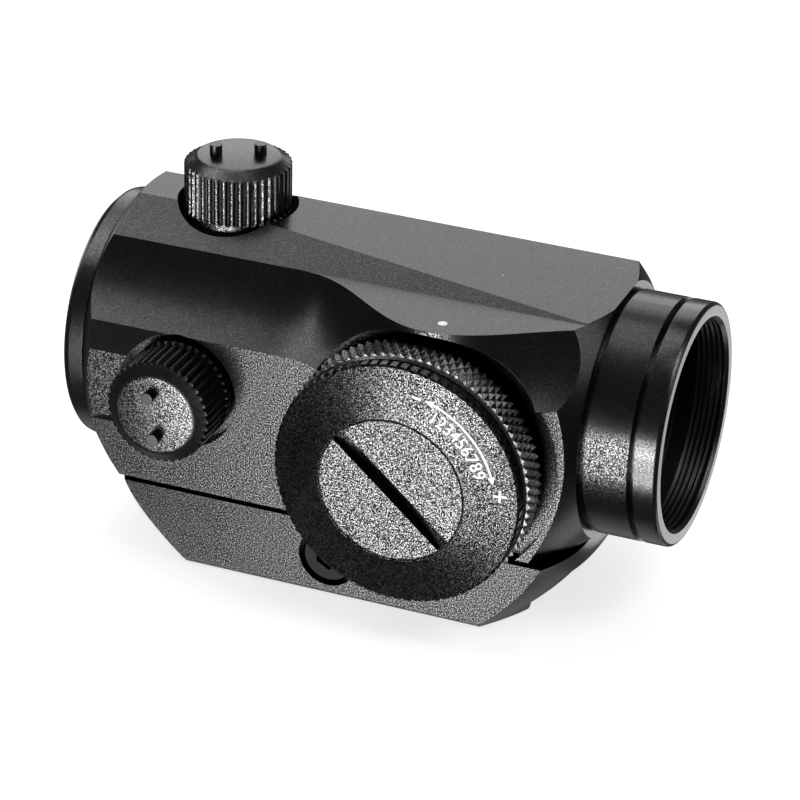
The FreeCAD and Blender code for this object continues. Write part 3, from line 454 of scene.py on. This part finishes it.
# ---------------------------------------------------------------- turret caps
# Turned aluminium dust caps with forty flutes; the crown is bevelled through the flutes.
# Two black pins on each crown serve as a key for the adjuster's slot.

FLUTES = 40
FLUTE_STEPS = 8
FLUTE_DEPTH = 0.3 * MM
FLUTE_SHARE = 0.62
FLUTE_RUN_OUT = 0.18 * MM
CAP_SKIRT = 0.7 * MM
CAP_EDGE = 0.15 * MM
CAP_BORE = 4.15 * MM
CAP_BORE_R = 4.25 * MM
CROWN_H = 0.78 * MM
CROWN_BEVEL = 1.3 * MM
CROWN_BOW = 1.15
CROWN_SHARES = (0.08, 0.2, 0.32, 0.5, 0.75, 0.92)
CROWN_LIP = ((0.02, 1.38), (0, 1.5))

cap_black = anodised("cap_black", 0.06, 0.27, 0.25, side_speckle=0.6, edge=0.04)
place = (np.arange(FLUTES * FLUTE_STEPS) / FLUTE_STEPS) % 1
groove = FLUTE_DEPTH * np.clip(1 - np.abs(place - 0.5) * 2 / FLUTE_SHARE, 0, 1)


def turret_cap(name, node, axis):
    """Skirt, fluted band and bevelled crown; the bore is blind."""
    low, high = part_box(node)
    base = (low + high) / 2
    base -= axis * base.dot(axis)
    foot, top = sorted((abs(low.dot(axis)), abs(high.dot(axis))))
    radius = (high.x - low.x) / 2
    band, crown = foot + CAP_SKIRT, top - CROWN_H
    rows = [(foot + CAP_BORE, CAP_BORE_R), (foot, CAP_BORE_R), (foot, radius - CAP_EDGE),
            (foot + CAP_EDGE, radius), (band, radius), (band + FLUTE_RUN_OUT, radius - groove),
            (crown, radius - groove)]
    for share in CROWN_SHARES:
        rows.append((crown + (top - crown) * share ** CROWN_BOW,
                     np.minimum(radius - share * CROWN_BEVEL, radius - groove)))
    rows += [(top - drop * MM, radius - inset * MM) for drop, inset in CROWN_LIP]
    piece = turned_skin(name, rows, base, axis, node, cap_black, ends=True)
    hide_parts(node)


turret_cap("elevation_dust_cap", "elevation_cap", Vector((0, 0, 1)))
turret_cap("windage_dust_cap", "windage_cap", Vector((0, -1, 0)))
dress(anodised("pin_black", 0.05, 0.28, 0.004, edge=0.1), "elevation_cap_pins", "windage_cap_pins")


# ---------------------------------------------------------------- dial
# Turned aluminium ring that runs round the battery's sleeve and sets the brightness.
# Its rim is knurled: two crossing sets of diagonal grooves leave rows of pyramids.

KNURLS = 84
KNURL_ROWS = 4
KNURL_DEPTH = 0.36 * MM
DIAL_EDGE = 0.2 * MM
KNURL_INSET = 1.4 * DIAL_EDGE
DIAL_BORE_R = 11.25 * MM

low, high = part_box("dial_ring")
hub = (low + high) / 2
radius = (high.x - low.x) / 2
dial_back, dial_front = -high.y, -low.y
hub.y = 0
root = radius - KNURL_DEPTH
rows = [(dial_back, DIAL_BORE_R), (dial_back, root - DIAL_EDGE), (dial_back + DIAL_EDGE, root)]
for k in range(KNURL_ROWS + 1):
    along = dial_back + KNURL_INSET + (dial_front - dial_back - 2 * KNURL_INSET) * k / KNURL_ROWS
    rows.append((along, radius - KNURL_DEPTH * ((np.arange(2 * KNURLS) + k + 1) % 2)))
rows += [(dial_front - DIAL_EDGE, root), (dial_front, root - DIAL_EDGE), (dial_front, DIAL_BORE_R)]
dial = turned_skin("knurled_dial", rows, hub, Vector((0, -1, 0)), "dial",
                   anodised("dial_black", 0.11, 0.26, 0.4, edge=0.02))
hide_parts("dial_ring")


# ---------------------------------------------------------------- battery lid
# Screwed aluminium lid, coarsely blasted before it was anodised, with a coin slot.
# The marks are screen printed: a double arrow with minus and plus, and plain numbers.

ARROW_R = 10.3 * MM
ARROW_FROM, ARROW_TO = 14.0, 72.5
ARROW_STEPS = 24
LINE_W = 0.17 * MM
HEAD_TURN = 4.2
HEAD_W = 0.62 * MM
LINE_INSET = 0.8 * HEAD_TURN
SIGN_W = 0.2 * MM
MINUS_TURN, MINUS_R, MINUS_L = 77.8, 10.17 * MM, 0.95 * MM
PLUS_TURN, PLUS_R, PLUS_L = 7.2, 10.75 * MM, 1.2 * MM
PLUS_TILTS = (0.15, 1.72)
DIGITS = 9
DIGIT_R = 8.75 * MM
DIGIT_H = 1.15 * MM
DIGIT_FROM, DIGIT_TO = 64.5, 21.0
CAPITAL_SHARE = 0.7

dress(anodised("lid_black", 0.049, 0.24, 1.0, size=0.13), "battery_cap")


def on_lid(turn, radius):
    """Place over the lid's cone, from its angle above the front and its radius."""
    t = math.radians(turn)
    return (hub.x + radius * math.cos(t), 0, hub.z + radius * math.sin(t))


def lid_mark(name, points, faces):
    """Printed mark on the lid, from its points' turns and radii."""
    printed(name, [on_lid(*point) for point in points], faces, "battery_cap", Vector((0, 1, 0)),
            "battery_cap")


def bar(turn, radius, length, tilt=0.0):
    """Four corners of a short stroke, square to the radius unless tilted."""
    corners = []
    for u, v in ((-length, -SIGN_W), (length, -SIGN_W), (length, SIGN_W), (-length, SIGN_W)):
        a = (u * math.cos(tilt) - v * math.sin(tilt)) / 2
        b = (u * math.sin(tilt) + v * math.cos(tilt)) / 2
        corners.append((turn + math.degrees(a / radius), radius + b))
    return corners


arrow = []
for k in range(ARROW_STEPS + 1):
    turn = ARROW_FROM + LINE_INSET + (ARROW_TO - ARROW_FROM - 2 * LINE_INSET) * k / ARROW_STEPS
    arrow += [(turn, ARROW_R - LINE_W / 2), (turn, ARROW_R + LINE_W / 2)]
faces = [(2 * k, 2 * k + 2, 2 * k + 3, 2 * k + 1) for k in range(ARROW_STEPS)]
for tip, way in ((ARROW_FROM, 1), (ARROW_TO, -1)):
    n = len(arrow)
    neck = tip + way * HEAD_TURN
    arrow += [(tip, ARROW_R), (neck, ARROW_R - HEAD_W / 2), (neck, ARROW_R + HEAD_W / 2)]
    faces.append((n, n + 1, n + 2))
lid_mark("double_arrow", arrow, faces)
lid_mark("minus_mark", bar(MINUS_TURN, MINUS_R, MINUS_L), [(0, 1, 2, 3)])
strokes = [bar(PLUS_TURN, PLUS_R, PLUS_L, tilt) for tilt in PLUS_TILTS]
lid_mark("plus_mark", strokes[0] + strokes[1], [(0, 1, 2, 3), (4, 5, 6, 7)])

for k in range(DIGITS):
    curve = bpy.data.curves.new("digit", "FONT")
    curve.body = str(k + 1)
    curve.size = DIGIT_H / CAPITAL_SHARE
    curve.align_x = "CENTER"
    letter = bpy.data.objects.new("digit", curve)
    bpy.context.scene.collection.objects.link(letter)
    bpy.context.view_layer.update()
    drawn = letter.evaluated_get(bpy.context.evaluated_depsgraph_get())
    shape = bpy.data.meshes.new_from_object(drawn)
    bpy.data.objects.remove(letter)
    turn = DIGIT_FROM + (DIGIT_TO - DIGIT_FROM) * k / (DIGITS - 1)
    points = [(turn - math.degrees(v.co.x / (DIGIT_R + v.co.y)), DIGIT_R + v.co.y)
              for v in shape.vertices]
    lid_mark("digit_%d" % (k + 1), points, [tuple(p.vertices) for p in shape.polygons])


# ---------------------------------------------------------------- glass
# Coated crown glass, held in by rings. The objective sends the red dot back to the eye, so it
# has a red cast; the rear window only keeps dirt out.

RED_CAST = (0.95, 0.62, 0.6, 1)
CLEAR_CAST = (0.93, 0.97, 0.95, 1)
CROWN_GLASS_IOR = 1.52


def glass(name, colour):
    """Coated glass with a little dust."""
    f = Finish(name)
    dust = f.step(f.noise(0.6 * MM, 3.0, 0.7), 0.66, 0.8)
    f.set(base_color=colour, transmission_weight=1.0, ior=CROWN_GLASS_IOR,
          coat_weight=0.4 + 0.2 * dust, roughness=0.02 + 0.25 * dust,
          normal=f.bump(f.noise(6 * MM, 1.0), 0.002 * MM))
    return f.material


dress(glass("red_cast_glass", RED_CAST), "objective_lens")
dress(glass("window_glass", CLEAR_CAST), "rear_window")


# ---------------------------------------------------------------- inside the tube
# The aiming tube and its rings are anodised matt black, to swallow stray light. The diode sits
# in a moulded holder, the seals are moulded rubber, and the switch is on a small green board.

SOOT = (0.02, 0.02, 0.02, 1)
DIODE_RED = (0.6, 0.05, 0.04, 1)
BOARD_GREEN = (0.03, 0.14, 0.06, 1)

dress(inner_black, "inner_tube", "pivot_ring", "lens_ring", "window_ring", "battery_sleeve")


def darker(colour, share):
    """The same colour with only a share of its light."""
    return tuple(share * c for c in colour[:3]) + (1,)


def moulded(name, colour, rough, grain, **more):
    """Moulded plastic or rubber with a fine uneven skin; its grain is a depth in mm."""
    f = Finish(name)
    skin = f.noise(0.2 * MM, 2.0, 0.6)
    cloud = f.noise(3 * MM, 2.0)
    f.set(base_color=f.blend(cloud * 0.4, colour, darker(colour, 0.7)),
          roughness=rough + 0.15 * (cloud - 0.5), normal=f.bump(skin, grain * MM), **more)
    return f.material


dress(moulded("holder_black", SOOT, 0.5, 0.01), "led_holder")
dress(moulded("red_resin", DIODE_RED, 0.15, 0.002, transmission_weight=0.4), "led_emitter")
dress(moulded("seal_rubber", SOOT, 0.7, 0.01),
      "elevation_cap_seal", "windage_cap_seal", "battery_cap_seal")
dress(moulded("board_green", BOARD_GREEN, 0.35, 0.01), "switch_board")


# ---------------------------------------------------------------- metal inside
# Turned brass adjusters and plungers under the caps, steel springs, rings and a click ball,
# and a nickel-plated coin cell under the lid.

BRASS = (0.62, 0.47, 0.2, 1)
SPRING_GREY = (0.45, 0.45, 0.44, 1)
BRIGHT_GREY = (0.5, 0.5, 0.5, 1)
NICKEL = (0.7, 0.7, 0.68, 1)


def bare_metal(name, colour, rough, grain, size=0.3):
    """Unpainted metal with a little tarnish and fine tool marks of a depth and a size in mm."""
    f = Finish(name)
    cloud = f.noise(2.5 * MM, 4.0, 0.6)
    marks = f.noise(size * MM, 2.0, 0.7)
    f.set(base_color=f.blend(cloud * 0.5, colour, darker(colour, 0.6)), metallic=1.0,
          roughness=rough + 0.2 * (marks - 0.5), normal=f.bump(marks, grain * MM, 0.05 * MM))
    return f.material


dress(bare_metal("turned_brass", BRASS, 0.28, 0.004),
      "elevation_adjuster", "elevation_plunger", "windage_adjuster", "windage_plunger")
dress(bare_metal("spring_steel", SPRING_GREY, 0.3, 0.003), "bias_spring", "detent_spring",
      "dial_retainer", "contact_spring", "elevation_retainer", "windage_retainer")
dress(bare_metal("bright_steel", BRIGHT_GREY, 0.2, 0.002), "detent_ball", "spring_screw")
dress(bare_metal("cell_nickel", NICKEL, 0.22, 0.003, 0.15), "coin_cell")


# ---------------------------------------------------------------- clamp
# Base and jaw are extruded and milled aluminium, blasted and anodised like the body.
# Blackened steel screws hold the base to the body and draw the jaw against the rail.

BLACKED = (0.009, 0.009, 0.01, 1)

dress(anodised("clamp_black", 0.034, 0.26, 0.25, side_speckle=0.6), "mount_base", "clamp_jaw")
dress(bare_metal("black_steel", BLACKED, 0.30, 0.004), "clamp_screw", "base_screws")
